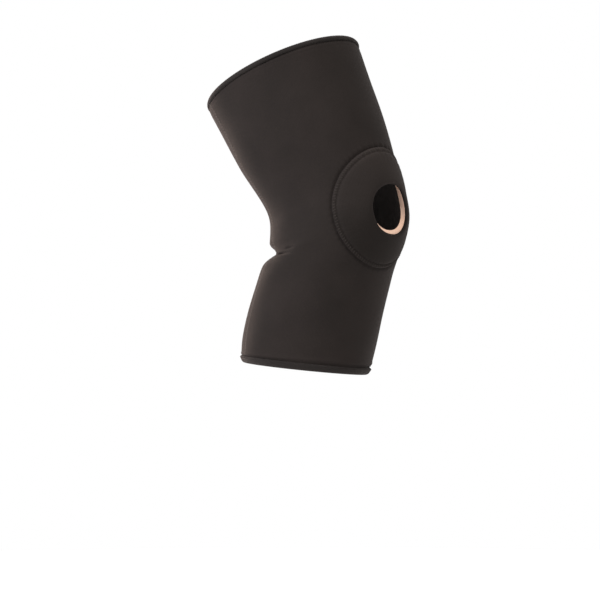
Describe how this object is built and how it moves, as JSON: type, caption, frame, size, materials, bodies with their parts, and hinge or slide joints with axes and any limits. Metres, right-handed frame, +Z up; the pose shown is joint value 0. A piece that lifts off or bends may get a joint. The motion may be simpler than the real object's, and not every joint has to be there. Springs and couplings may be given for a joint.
{
  "type": "knee support",
  "caption": "Neoprene knee sleeve shaped to a bent knee, with a round hole over the kneecap, a padded sewn ring around it and bound edges.",
  "frame": {"origin": "the middle of the knee, inside the sleeve, where the leg holds it", "axes": "+Z up the leg, -Y to the front of the knee, -X to the outer side of a right leg"},
  "size_m": [0.1394, 0.1784, 0.2919],
  "materials": {
    "neoprene": "matte charcoal knit over neoprene foam, with a soft sheen at grazing angles",
    "ring_cloth": "the same matte charcoal knit over a padded ring",
    "tape": "matte black stretch binding tape with overlocked stitches"
  },
  "bodies": {
    "root": {"sleeve": "neoprene", "kneecap_ring": "ring_cloth", "top_binding": "tape", "bottom_binding": "tape"}
  },
  "joints": []
}
